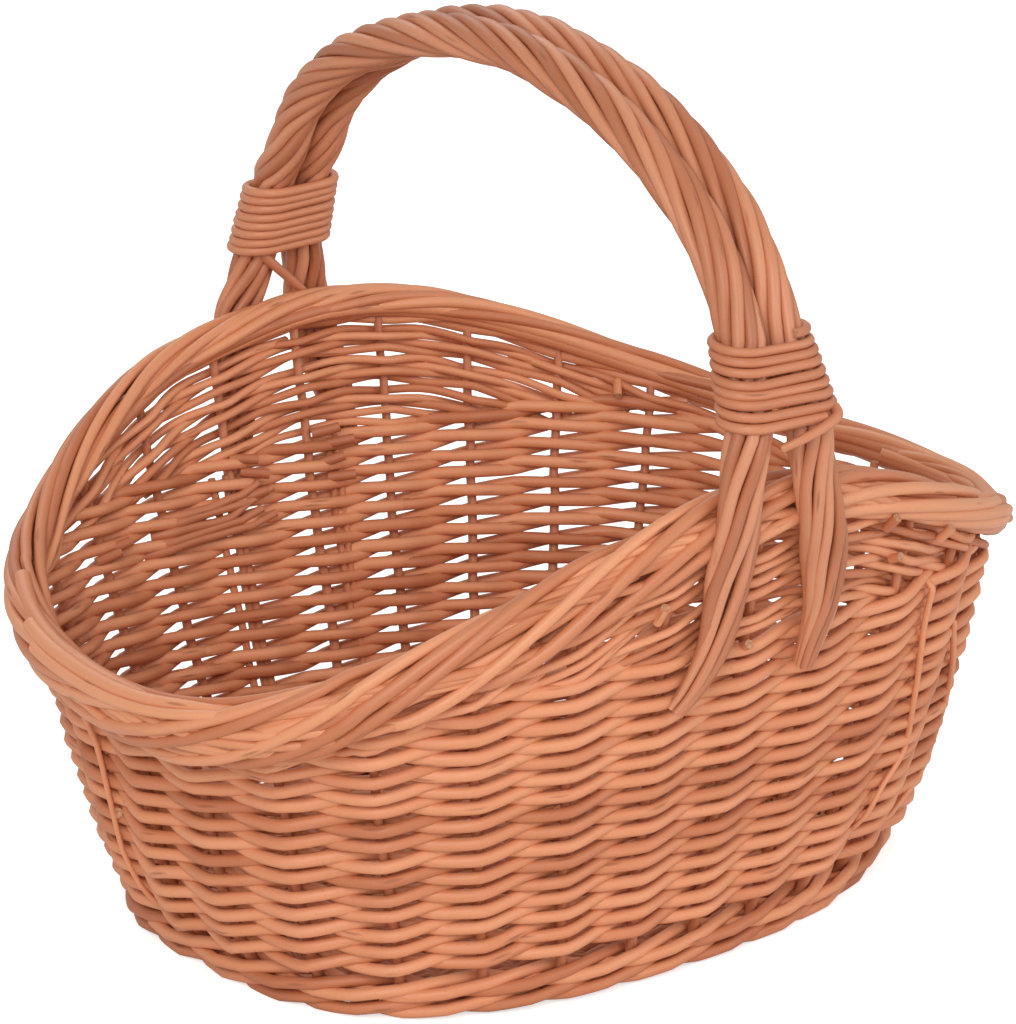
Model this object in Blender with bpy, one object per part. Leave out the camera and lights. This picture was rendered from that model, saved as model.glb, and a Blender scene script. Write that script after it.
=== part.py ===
"""Oval willow basket for gathering mushrooms, with a rope-like bow handle.

Metres, Z up, origin under the middle of the base. X runs along the basket and
Y across it, the way the handle goes. Each rod that a maker handles by itself is
one object: stakes, weavers, packing rods, border, handle ropes and bindings.
"""
import math

import bmesh
import bpy
import numpy as np
from mathutils import Vector

# Wall, measured on the middle of its thickness
base_length = 0.320
base_width = 0.227
spread_length = 0.438
spread_width = 0.317
spread_height = 0.200
end_bulge = 0.0046
side_bulge = 0.003
corner_power = 2.6

# Rim, which dips at the two ends and rises where the handle stands
end_rim_height = 0.150
rim_rise = 0.073
rim_rise_power = 2.33
border_height = 0.031
border_thickness = 0.020
border_inset = 0.001
border_lobes = 5
border_groove_share = 0.17

# Base
base_thickness = 0.010
cross_stick_count = 5
cross_stick_thickness = 0.0078
cross_stick_spacing = 0.044
long_stick_count = 3
long_stick_thickness = 0.0046
heart_margin = 0.012
heart_lap_share = 0.25

# Stakes and the rods that weave round them
stake_count = 28
stake_thickness = 0.0044
stake_foot_height = 0.0015
weaver_thickness = 0.0040
least_row_gap = 0.0003
foot_rod_thickness = 0.0060
foot_rod_height = 0.0056
packing_least_stakes = 3
turn_share = 1.1

# Handle: two twisted ropes of rods that part into four legs, bound above the side rim
handle_height = 0.3765
binding_above_rim = 0.0376
binding_reach = 0.1665
arch_roundness = 1.70
rope_thickness = 0.0186
rope_lobes = 6
rope_groove_share = 0.16
rope_lay_length = 0.165
leg_share = 0.84
leg_tip_share = 0.42
leg_spread = 0.066
leg_below_rim = 0.093
border_press_share = 0.2

# Bindings, one unbroken rod each
binding_thickness = 0.0034
binding_pitch = 0.0040
binding_loops = 8
binding_lean_share = 0.33
points_per_loop = 24

# Room left between pieces that touch
seat_clearance = 0.0003
rod_clearance = 0.0005
winding_clearance = 0.0006

# How finely the curved pieces are drawn and joined
merge_distance = 0.00003
flat_angle = 0.001
stake_steps = 6
outline_steps_per_stake = 2
border_steps_per_stake = 2
arch_steps = 13
leg_steps = 3
probe_share = 0.002
table_steps = 720
contact_steps = 9

# Places that follow from the sizes above
side_rim_height = end_rim_height + rim_rise
binding_height = side_rim_height + binding_above_rim
leg_foot_height = side_rim_height - leg_below_rim
stake_radius = stake_thickness / 2
weaver_radius = weaver_thickness / 2
foot_rod_radius = foot_rod_thickness / 2
rope_radius = rope_thickness / 2
binding_radius = binding_thickness / 2
stake_share = 1 / stake_count
rope_offset = rope_radius + seat_clearance / 2
binding_span = binding_pitch * binding_loops
binding_end = binding_height - binding_span / 2 - binding_thickness
arch_foot = binding_height + binding_span / 2 + binding_thickness

willow_tan = (0.610, 0.223, 0.112)
willow_brown = (0.420, 0.130, 0.058)
willow_dark = (0.300, 0.085, 0.035)


def clear_scene():
    for thing in list(bpy.data.objects):
        bpy.data.objects.remove(thing, do_unlink=True)


def new_collection(name):
    collection = bpy.data.collections.new(name)
    bpy.context.scene.collection.children.link(collection)
    return collection


def willow(name, colour, roughness=0.48):
    """A satin willow finish of one tone."""
    material = bpy.data.materials.new(name + "_willow")
    material.use_nodes = True
    shader = material.node_tree.nodes["Principled BSDF"]
    shader.inputs["Base Color"].default_value = (*colour, 1)
    shader.inputs["Roughness"].default_value = roughness
    shader.inputs["Metallic"].default_value = 0
    return material


def add_part(name, data, colour):
    part = bpy.data.objects.new(name, data)
    part_collection.objects.link(part)
    data.materials.append(willow(name, colour))
    return part


# The wall

def outline_reach(angle, half_length, half_width):
    """Distance from the axis to the wall's oval outline in one direction."""
    along = abs(math.cos(angle)) / half_length
    across = abs(math.sin(angle)) / half_width
    return (along ** corner_power + across ** corner_power) ** (-1 / corner_power)


def wall_half_sizes(height):
    """Half length and half width of the wall's outline at a height."""
    rise = height / spread_height
    swell = 4 * rise * (1 - rise)
    half_length = (base_length + (spread_length - base_length) * rise) / 2 + end_bulge * swell
    half_width = (base_width + (spread_width - base_width) * rise) / 2 + side_bulge * swell
    return half_length, half_width


def measure_outline():
    """Angles round the outline at mid height, and the share of its length up to each."""
    angles = np.linspace(0, 2 * math.pi, table_steps + 1)
    half_length, half_width = wall_half_sizes(spread_height / 2)
    reaches = np.array([outline_reach(angle, half_length, half_width) for angle in angles])
    spots = np.stack([reaches * np.cos(angles), reaches * np.sin(angles)], axis=1)
    lengths = np.concatenate([[0], np.cumsum(np.linalg.norm(np.diff(spots, axis=0), axis=1))])
    return angles, lengths / lengths[-1]


outline_angles, outline_shares = measure_outline()


def angle_at(share):
    return float(np.interp(share % 1, outline_shares, outline_angles))


def wall_spot(share, height):
    """The middle of the wall, a share of the way round from the +X end."""
    angle = angle_at(share)
    reach = outline_reach(angle, *wall_half_sizes(height))
    return Vector((math.cos(angle) * reach, math.sin(angle) * reach, height))


def outline_length(height):
    spots = [wall_spot(step / table_steps, height) for step in range(table_steps)]
    return sum((spot - spots[index - 1]).length for index, spot in enumerate(spots))


foot_length = outline_length(foot_rod_height)


def wall_outward(share, height):
    step = spread_height * probe_share
    along = wall_spot(share + probe_share, height) - wall_spot(share - probe_share, height)
    upward = wall_spot(share, height + step) - wall_spot(share, height - step)
    return along.cross(upward).normalized()


# Curves

def tube(name, points, radius, colour, sides=4, closed=False, shares=None, bevel=None, tilts=None):
    """One rod along the points. Shares thin it, and a bevel outline replaces its round section."""
    curve = bpy.data.curves.new(name, "CURVE")
    curve.dimensions = "3D"
    if bevel is None:
        curve.bevel_depth = radius
        curve.bevel_resolution = (sides - 4) // 2
    else:
        curve.bevel_mode = "OBJECT"
        curve.bevel_object = bevel
    curve.use_fill_caps = not closed
    spline = curve.splines.new("POLY")
    spline.points.add(len(points) - 1)
    spline.use_cyclic_u = closed
    for index, spot in enumerate(points):
        spline.points[index].co = (*spot, 1)
        if shares is not None:
            spline.points[index].radius = shares[index]
        if tilts is not None:
            spline.points[index].tilt = tilts[index]
    return add_part(name, curve, colour)


def smooth_route(stops, steps):
    """Points of a smooth curve through the stops, each a tuple of equal length."""
    stops = [np.array(stop, float) for stop in stops]
    padded = [2 * stops[0] - stops[1]] + stops + [2 * stops[-1] - stops[-2]]
    route = []
    for before, start, end, after in zip(padded, padded[1:], padded[2:], padded[3:]):
        for step in range(steps):
            t = step / steps
            bend = 2 * before - 5 * start + 4 * end - after
            turn = 3 * start - before - 3 * end + after
            route.append((2 * start + (end - before) * t + bend * t ** 2 + turn * t ** 3) / 2)
    return route + [stops[-1]]


# The rim and its border

def rim_height(share):
    rise = abs(math.sin(angle_at(share))) ** rim_rise_power
    return end_rim_height + rim_rise * rise


def border_centre(share):
    height = rim_height(share) - border_height / 2
    return wall_spot(share, height) - wall_outward(share, height) * border_inset


def border_axes(share):
    """Directions along the border, outward and up the wall."""
    along = (border_centre(share + probe_share) - border_centre(share - probe_share)).normalized()
    outward = wall_outward(share, border_centre(share).z)
    upward = outward.cross(along).normalized()
    return along, along.cross(upward), upward


def border_section(share):
    """One lobed section of the border. A lobe points down where a stake comes in."""
    _, outward, upward = border_axes(share)
    centre = border_centre(share)
    turn = 2 * math.pi / border_lobes
    phase = share * stake_count * turn - math.pi / 2
    section = []
    for corner in range(2 * border_lobes):
        angle = phase + corner * turn / 2
        size_share = 1 if corner % 2 == 0 else 1 - border_groove_share
        across = math.cos(angle) * border_thickness / 2 * size_share
        up = math.sin(angle) * border_height / 2 * size_share
        section.append(centre + outward * across + upward * up)
    return section


def border_underside(share):
    """Height of the border's lower edge, straight down the wall from its middle."""
    along, _, upward = border_axes(share)
    return border_centre(share).z - border_height / 2 * upward.z / (1 - along.z ** 2)


def make_border():
    """The rolled border, a closed ring whose lobes wind round it."""
    corners = 2 * border_lobes
    rings = stake_count * border_steps_per_stake
    mesh = bmesh.new()
    verts = [[mesh.verts.new(spot) for spot in border_section(ring / rings)] for ring in range(rings)]
    shift = (2 * stake_count) % corners
    for ring in range(rings):
        last = ring == rings - 1
        for corner in range(corners):
            step = corner + shift if last else corner
            after = verts[(ring + 1) % rings]
            mesh.faces.new((verts[ring][corner], after[step % corners],
                            after[(step + 1) % corners], verts[ring][(corner + 1) % corners]))
    bmesh.ops.recalc_face_normals(mesh, faces=mesh.faces)
    data = bpy.data.meshes.new("border")
    mesh.to_mesh(data)
    mesh.free()
    add_part("border", data, willow_tan)


# Stakes

def stake_top(share):
    """A stake stops under the border, clear of its slope."""
    along = border_axes(share)[0]
    slope = abs(along.z) / math.hypot(along.x, along.y)
    return border_underside(share) - seat_clearance - stake_radius * slope


def make_stakes():
    for number in range(stake_count):
        share = number * stake_share
        rise = (stake_top(share) - stake_foot_height) / stake_steps
        heights = [stake_foot_height + rise * step for step in range(stake_steps + 1)]
        points = [wall_spot(share, height) for height in heights]
        tube(f"stake_{number + 1:02d}", points, stake_radius, willow_brown, sides=6)


# Weaving

def woven_route(passes, rod_radius):
    """Points of a rod that passes stakes by turns, each pass a share, a height and a side.

    The side is 1 outside the stake and -1 inside it. A point is pushed out where the
    rod bends, so that its straight runs stay clear of the stake. Other sides are the
    corners of a turn back round a stake, and stay where they are.
    """
    reach = stake_radius + rod_radius + rod_clearance
    points = [wall_spot(share, height) + wall_outward(share, height) * side * reach
              for share, height, side in passes]
    route = []
    for index, (share, height, side) in enumerate(passes):
        push = side * reach
        if abs(side) == 1 and 0 < index < len(points) - 1:
            turn = (points[index] - points[index - 1]).angle(points[index + 1] - points[index])
            push /= math.cos(turn / 2)
        route.append(wall_spot(share, height) + wall_outward(share, height) * push)
    return route


def make_foot_rods():
    """Two stout rods round the foot of the stakes, one outside where the other is inside."""
    for layer, name in enumerate(("foot_rod_lower", "foot_rod_upper")):
        height = foot_rod_height + layer * (foot_rod_thickness + least_row_gap)
        first = 1 if layer == 0 else -1
        passes = [(number * stake_share, height, first if number % 2 == 0 else -first)
                  for number in range(-1, stake_count + 1)]
        route = woven_route(passes, foot_rod_radius)[1:-1]
        tube(name, route, foot_rod_radius, willow_dark, closed=True)


def weave_ceiling(share):
    """Highest place for the middle of a rod under the border, near one stake."""
    near = stake_share / 4
    lowest = min(border_underside(share - near), border_underside(share + near))
    return lowest - weaver_radius - rod_clearance


weave_start = foot_rod_height + 1.5 * foot_rod_thickness + 2 * least_row_gap + weaver_radius
weave_room = min(weave_ceiling(0), weave_ceiling(0.5)) - weave_start
whole_turns = int(weave_room / (weaver_thickness + least_row_gap) / 2)
row_pitch = weave_room / whole_turns / 2


def make_side_weavers():
    """Two rods that chase each other up the wall, outside at every other stake."""
    for order, name in enumerate(("side_weaver_first", "side_weaver_second")):
        passes = []
        lead = order * stake_count // 2
        for step in range(whole_turns * stake_count + 1):
            number = lead + step
            height = weave_start + 2 * row_pitch * step * stake_share
            side = 1 if (number + order) % 2 == 0 else -1
            passes.append((number * stake_share, height, side))
        tube(name, woven_route(passes, weaver_radius), weaver_radius, willow_tan)


def packing_height(number, row, first_stake):
    """Height of a packing row at a stake, on top of the spiral below it."""
    turned = whole_turns - 0.5 + (number - first_stake) * stake_share
    return weave_start + 2 * row_pitch * turned + row_pitch * (row + 1)


def packing_reach(row, first_stake, middle, direction):
    """The last stake towards one end that a row can turn round under the border."""
    number = middle
    while abs(number + direction - middle) < stake_count / 4 - 0.5:
        following = number + direction
        if packing_height(following, row, first_stake) > weave_ceiling(following * stake_share):
            break
        number = following
    return number


def make_packing(name, first_stake):
    """One rod laid to and fro over a long side, so that the rim rises there."""
    middle = first_stake + stake_count // 4
    passes = []
    row = 0
    direction = 1
    number = packing_reach(1, first_stake, middle, -1)
    turn_room = (stake_radius + weaver_radius + rod_clearance) * turn_share
    past_stake = turn_room / outline_length(packing_height(middle, 0, first_stake))
    while True:
        last = packing_reach(row + 1, first_stake, middle, direction)
        if (last - number) * direction + 1 < packing_least_stakes:
            break
        for stake in range(number, last + direction, direction):
            side = 1 if (stake + row + first_stake // 2) % 2 == 0 else -1
            at_turn = stake == last or (stake == number and row > 0)
            height = packing_height(stake, row, first_stake)
            passes.append((stake * stake_share, height, side * (turn_share if at_turn else 1)))
        for corner in (1, 3):
            lift = row_pitch * corner / 4
            beyond = last * stake_share + direction * past_stake
            passes.append((beyond, height + lift, side * (2 - corner) * turn_share / 2))
        number = last
        direction = -direction
        row += 1
    del passes[-2:]
    tube(name, woven_route(passes, weaver_radius), weaver_radius, willow_tan)


# Base

def cylinder(name, collection, radius, start, end, sides=8):
    """A capped round stick between two points, as a mesh object."""
    middle = (start + end) / 2
    axis = end - start
    mesh = bmesh.new()
    bmesh.ops.create_cone(mesh, cap_ends=True, segments=sides, radius1=radius, radius2=radius,
                          depth=axis.length)
    data = bpy.data.meshes.new(name)
    mesh.to_mesh(data)
    mesh.free()
    stick = bpy.data.objects.new(name, data)
    stick.rotation_mode = "QUATERNION"
    stick.rotation_quaternion = axis.to_track_quat("Z", "Y")
    stick.location = middle
    collection.objects.link(stick)
    return stick


def box(name, collection, size, centre):
    mesh = bmesh.new()
    bmesh.ops.create_cube(mesh, size=1)
    bmesh.ops.scale(mesh, vec=size, verts=mesh.verts)
    data = bpy.data.meshes.new(name)
    mesh.to_mesh(data)
    mesh.free()
    block = bpy.data.objects.new(name, data)
    block.location = centre
    collection.objects.link(block)
    return block


def cut(part, cutter):
    cutter.hide_render = True
    cutter.display_type = "WIRE"
    change = part.modifiers.new(cutter.name, "BOOLEAN")
    change.operation = "DIFFERENCE"
    change.solver = "EXACT"
    change.object = cutter


def panel_edge(share):
    """The base fits inside the lower foot rod, which bends in most between two stakes."""
    reach = stake_radius + foot_rod_radius + rod_clearance
    steepness = 2 * reach * stake_count / foot_length
    inset = reach * math.hypot(1, steepness) + foot_rod_radius + seat_clearance
    edge = wall_spot(share, foot_rod_height) - wall_outward(share, foot_rod_height) * inset
    return Vector((edge.x, edge.y, 0))


def make_base():
    """The woven base as one panel, with tunnels for the sticks that it is woven on.

    The sticks show in the middle of its upper face, where the weaving starts beside them.
    """
    curve = bpy.data.curves.new("base_outline", "CURVE")
    curve.dimensions = "2D"
    curve.fill_mode = "BOTH"
    curve.extrude = base_thickness / 2
    spline = curve.splines.new("POLY")
    corners = stake_count * outline_steps_per_stake
    spline.points.add(corners - 1)
    spline.use_cyclic_u = True
    for corner in range(corners):
        spline.points[corner].co = (*panel_edge(corner / corners), 1)
    outline = bpy.data.objects.new("base_outline", curve)
    outline.location.z = base_thickness / 2
    part_collection.objects.link(outline)
    bpy.context.view_layer.update()
    evaluated = outline.evaluated_get(bpy.context.evaluated_depsgraph_get())
    data = bpy.data.meshes.new_from_object(evaluated)
    mesh = bmesh.new()
    mesh.from_mesh(data)
    bmesh.ops.remove_doubles(mesh, verts=mesh.verts, dist=merge_distance)
    bmesh.ops.dissolve_limit(mesh, angle_limit=flat_angle, verts=mesh.verts, edges=mesh.edges)
    mesh.to_mesh(data)
    mesh.free()
    panel = add_part("base_panel", data, willow_dark)
    panel.matrix_world = outline.matrix_world
    bpy.data.objects.remove(outline, do_unlink=True)

    level = base_thickness / 2
    slot_width = long_stick_count * (long_stick_thickness + seat_clearance) + seat_clearance
    slot_height = long_stick_thickness + 2 * seat_clearance
    overrun = base_thickness
    for number in range(cross_stick_count):
        x = (number - (cross_stick_count - 1) / 2) * cross_stick_spacing
        reach = panel_reach_across(x)
        start, end = Vector((x, -reach, level)), Vector((x, reach, level))
        stick = cylinder(f"cross_stick_{number + 1}", part_collection, cross_stick_thickness / 2,
                         start, end)
        stick.data.materials.append(willow(stick.name, willow_dark))
        slit = box(f"slit_{number + 1}", cutter_collection,
                   (2 * cross_stick_thickness, slot_width, slot_height), Vector((x, 0, level)))
        cut(stick, slit)
        past = Vector((0, overrun, 0))
        tunnel = cylinder(f"tunnel_{number + 1}", cutter_collection,
                          cross_stick_thickness / 2 + seat_clearance, start - past, end + past)
        cut(panel, tunnel)
    reach = panel_reach_along()
    for number in range(long_stick_count):
        y = (number - (long_stick_count - 1) / 2) * (long_stick_thickness + seat_clearance)
        stick = cylinder(f"long_stick_{number + 1}", part_collection, long_stick_thickness / 2,
                         Vector((-reach, y, level)), Vector((reach, y, level)))
        stick.data.materials.append(willow(stick.name, willow_dark))
    slot = box("long_slot", cutter_collection,
               (2 * (reach + overrun), slot_width, slot_height), Vector((0, 0, level)))
    cut(panel, slot)
    heart_length = (cross_stick_count - 1) * cross_stick_spacing + 2 * heart_margin
    heart_width = slot_width - 2 * heart_lap_share * long_stick_thickness
    heart = box("heart_opening", cutter_collection, (heart_length, heart_width, base_thickness),
                Vector((0, 0, level + base_thickness / 2)))
    cut(panel, heart)


def panel_reach_along():
    """Half the base's length, less the flat ends' set-back."""
    return panel_edge(0).x - seat_clearance


def panel_reach_across(x):
    """Half the base's width at a distance from its middle, so that a stick ends inside it."""
    quarter = [panel_edge(step / table_steps) for step in range(table_steps // 4 + 1)]
    outer = abs(x) + cross_stick_thickness / 2
    widths = [spot.y for spot in quarter if spot.x >= outer]
    return max(widths) - seat_clearance


# Handle

def rope_outline():
    """Lobed section of a rope of rods, used as a bevel."""
    curve = bpy.data.curves.new("rope_outline", "CURVE")
    curve.dimensions = "2D"
    spline = curve.splines.new("POLY")
    corners = 2 * rope_lobes
    spline.points.add(corners - 1)
    spline.use_cyclic_u = True
    for corner in range(corners):
        angle = -2 * math.pi * corner / corners
        size = rope_radius * (1 if corner % 2 == 0 else 1 - rope_groove_share)
        spline.points[corner].co = (size * math.cos(angle), size * math.sin(angle), 0, 1)
    outline = bpy.data.objects.new("rope_outline", curve)
    outline.hide_render = True
    outline.display_type = "WIRE"
    cutter_collection.objects.link(outline)
    return outline


def side_share_at(x):
    """Share of the way round at which the near long side stands at an X."""
    shares = np.linspace(0.5, 1, table_steps)
    places = [wall_spot(share, spread_height).x for share in shares]
    return float(np.interp(x, places, shares))


def weave_reach(x, height, radius):
    """Distance from the middle plane at which a round leg of this radius rests on the weave.

    The weave stands out most at a stake and falls back to its middle half way to the next.
    """
    stakes = [wall_spot(number * stake_share, height).x
              for number in range(stake_count // 2, stake_count + 1)]
    spacing = outline_length(height) / stake_count
    pass_reach = stake_radius + weaver_radius + rod_clearance
    wall = abs(wall_spot(side_share_at(x), height).y)
    reaches = []
    for offset in np.linspace(-radius, radius, contact_steps):
        apart = min(abs(x + offset - stake) for stake in stakes)
        swell = pass_reach * (1 - 2 * apart / spacing) + weaver_radius
        reaches.append(wall + swell + math.sqrt(radius ** 2 - offset ** 2))
    return max(reaches) + rod_clearance


def border_face(x):
    """Distance from the middle plane to the border's outer face, and its middle's height."""
    share = side_share_at(x)
    _, outward, upward = border_axes(share)
    swell = math.hypot(outward.y * border_thickness, upward.y * border_height) / 2
    return abs(border_centre(share).y) + swell, border_centre(share).z


def leg_place(height):
    """How far from the middle plane a leg stands at a height, on a straight line to its foot."""
    drop = (binding_end - height) / (binding_end - leg_foot_height)
    return rope_offset + (leg_spread / 2 - rope_offset) * drop


def bound_reach(height):
    """The bound ropes lean in as they climb: how far from the middle plane they are."""
    return binding_reach - (height - binding_height) * binding_lean_share


def handle_half(side):
    """Stops of one rope from a foot to the top: x, y, z, thickness share and turned share."""
    leg_reach, arch_reach = bound_reach(binding_end), bound_reach(arch_foot)
    leg_radius = rope_radius * leg_share
    tip_radius = rope_radius * leg_tip_share
    face_height = border_face(leg_spread / 2)[1]
    face = border_face(max(leg_place(face_height) - leg_radius, 0))[0]
    waist = (leg_foot_height + face_height - border_height / 2) / 2
    over_border = face + seat_clearance + leg_radius
    press = border_height * border_press_share
    splay = (face_height + border_height / 2 + binding_end) / 2
    heights = [leg_foot_height, waist, face_height - press, face_height + press, splay]
    reaches = [weave_reach(leg_spread / 2, leg_foot_height, tip_radius),
               weave_reach(leg_place(waist), waist, leg_radius),
               over_border, over_border, (over_border + 2 * leg_reach) / 3]
    shares = [leg_tip_share, leg_share, leg_share, leg_share, 1]
    stops = [(leg_place(height), reach, height, share)
             for height, reach, share in zip(heights, reaches, shares)]
    stops.append((rope_offset, leg_reach, binding_end, 1))
    route = [(x * side, -y, z, share, 0) for x, y, z, share in smooth_route(stops, leg_steps)]
    rise = handle_height - rope_radius - arch_foot
    for step in range(arch_steps + 1):
        angle = math.pi / 2 * step / arch_steps
        y = arch_reach * abs(math.cos(angle)) ** (2 / arch_roundness)
        z = arch_foot + rise * math.sin(angle) ** (2 / arch_roundness)
        route.append((rope_offset * side, -y, z, 1, step / arch_steps))
    return route


def make_handle():
    outline = rope_outline()
    for name, side in (("handle_rope_left", -1), ("handle_rope_right", 1)):
        half = handle_half(side)
        whole = half + [(x, -y, z, share, 2 - turned) for x, y, z, share, turned in half[-2::-1]]
        points = [Vector(stop[:3]) for stop in whole]
        arch = [Vector(stop[:3]) for stop in whole if 0 < stop[4] < 2]
        arch_length = sum((b - a).length for a, b in zip(arch, arch[1:]))
        full_turn = 2 * math.pi * arch_length / rope_lay_length
        tube(name, points, rope_radius, willow_tan, shares=[stop[3] for stop in whole],
             bevel=outline, tilts=[stop[4] / 2 * full_turn for stop in whole])


# Bindings

def racetrack(share, straight, radius):
    """A point on an outline of two straight runs and two half circles."""
    length = 4 * straight + 2 * math.pi * radius
    place = (share % 1) * length
    if place < 2 * straight:
        return straight - place, radius
    place -= 2 * straight
    if place < math.pi * radius:
        angle = math.pi / 2 + place / radius
        return -straight + radius * math.cos(angle), radius * math.sin(angle)
    place -= math.pi * radius
    if place < 2 * straight:
        return -straight + place, -radius
    angle = -math.pi / 2 + (place - 2 * straight) / radius
    return straight + radius * math.cos(angle), radius * math.sin(angle)


def make_binding(name, side):
    """One rod wound round both ropes, in loops that climb by one pitch each."""
    leaning_radius = rope_radius * math.hypot(1, binding_lean_share)
    reach = leaning_radius + winding_clearance + binding_radius
    points = []
    for step in range(binding_loops * points_per_loop + 1):
        turned = step / points_per_loop
        x, y = racetrack(turned, rope_offset, reach)
        z = binding_height - binding_span / 2 + binding_pitch * turned
        points.append(Vector((x, side * (bound_reach(z) + y), z)))
    first = (points[0] - points[1]).normalized() * binding_thickness
    last = (points[-1] - points[-2]).normalized() * binding_thickness
    points = [points[0] + first] + points + [points[-1] + last]
    tube(name, points, binding_radius, willow_brown, sides=6)
    half_loop = points_per_loop // 2
    gap = min((points[j] - points[i]).length for i in range(len(points))
              for j in range(i + half_loop, len(points))) - binding_thickness
    print(f"{name}: least gap between its turns {gap * 1000:.2f} mm")


clear_scene()
part_collection = new_collection("mushroom_basket")
cutter_collection = new_collection("cutters")
make_base()
make_stakes()
make_foot_rods()
make_side_weavers()
make_packing("packing_rod_far", 0)
make_packing("packing_rod_near", stake_count // 2)
make_border()
make_handle()
make_binding("binding_near", -1)
make_binding("binding_far", 1)
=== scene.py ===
"""Oval willow basket for gathering mushrooms: the rods as the photograph shows them.

Metres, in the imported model's frame. Every rod is drawn by itself, with its own taper,
tone and cut ends, and laid into the wall, rim, base, handle or bindings it belongs to.
"""
import math
import random

import bpy
import numpy as np
from mathutils import Matrix, Vector


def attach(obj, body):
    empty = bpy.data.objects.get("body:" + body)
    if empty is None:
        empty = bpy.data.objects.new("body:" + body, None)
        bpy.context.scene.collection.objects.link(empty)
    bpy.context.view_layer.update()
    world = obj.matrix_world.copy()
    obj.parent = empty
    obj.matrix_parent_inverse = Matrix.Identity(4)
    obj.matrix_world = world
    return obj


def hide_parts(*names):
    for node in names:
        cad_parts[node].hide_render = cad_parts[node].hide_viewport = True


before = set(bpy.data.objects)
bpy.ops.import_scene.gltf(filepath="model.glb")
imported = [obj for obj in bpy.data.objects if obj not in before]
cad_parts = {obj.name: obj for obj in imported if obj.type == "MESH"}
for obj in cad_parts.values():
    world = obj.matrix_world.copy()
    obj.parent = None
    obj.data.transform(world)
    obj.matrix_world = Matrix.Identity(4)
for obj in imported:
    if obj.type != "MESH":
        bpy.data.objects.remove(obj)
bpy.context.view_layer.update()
bpy.ops.object.select_all(action="DESELECT")
chance = random.Random(11)
full_turn = 2 * math.pi

# Wall and rim, as in the solids apart from the spread of the two ends
base_length, base_width = 0.320, 0.227
spread_length, spread_width, spread_height = 0.429, 0.317, 0.200
end_bulge, side_bulge, corner_power = 0.0046, 0.003, 2.6
end_rim_height, rim_rise, rim_rise_power = 0.150, 0.073, 2.33
border_thickness = 0.020
stake_count = 28
stake_radius = 0.0022

# Handle and bindings, as in the solids
binding_height = 0.2606
rope_radius, rope_offset, rope_lay_length = 0.0093, 0.00945, 0.165
binding_radius, binding_pitch, binding_loops = 0.0017, 0.0040, 8
binding_span = binding_pitch * binding_loops
binding_top = binding_height + binding_span / 2 + 2 * binding_radius
binding_foot = binding_height - binding_span / 2 - 2 * binding_radius


# Materials

class Value:
    """A shader socket that takes part in arithmetic."""

    def __init__(self, nodes, socket):
        self.nodes = nodes
        self.socket = socket

    def math(self, operation, first, second):
        return self.nodes.node("ShaderNodeMath", {"operation": operation}, {0: first, 1: second})

    def __add__(self, other):
        return self.math("ADD", self, other)

    def __rsub__(self, other):
        return self.math("SUBTRACT", other, self)

    def __mul__(self, other):
        return self.math("MULTIPLY", self, other)

    __radd__, __rmul__ = __add__, __mul__


class Nodes:
    """The nodes of a material or world, all added by one method."""

    def __init__(self, owner):
        owner.use_nodes = True
        self.tree = owner.node_tree

    def set(self, socket, value):
        if isinstance(value, Value):
            self.tree.links.new(value.socket, socket)
        else:
            socket.default_value = value

    def node(self, kind, settings=None, inputs=None, output=0):
        node = self.tree.nodes.new(kind)
        for name, value in (settings or {}).items():
            setattr(node, name, value)
        for name, value in (inputs or {}).items():
            self.set(node.inputs[name], value)
        return Value(self, node.outputs[output])


class Finish(Nodes):
    """A material, its surface and its mixes."""

    def __init__(self, name):
        self.material = bpy.data.materials.new(name)
        super().__init__(self.material)
        self.shader = self.tree.nodes["Principled BSDF"]

    def surface(self, name, value):
        self.set(self.shader.inputs[name], value)

    def blend(self, share, first, second):
        """Mixes two colours by a share."""
        return self.node("ShaderNodeMix", {"data_type": "RGBA"}, {0: share, 6: first, 7: second}, output=2)

    def ramp(self, value, low, high):
        """A value's place between two limits, from 0 to 1."""
        return self.node("ShaderNodeMapRange", {"clamp": True},
                         {"Value": value, "From Min": low, "From Max": high})


def grey(value):
    return (value, value, value, 1)


# how fast the marks change along a rod, per metre, and how far a rod's tone shifts them
streaks_along, blotches_along, scars_along = 26, 17, 34
streak_shift, blotch_shift, scar_shift = 90, 50, 70
fine_grain_scale, cut_grain_scale = 900, 650


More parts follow.
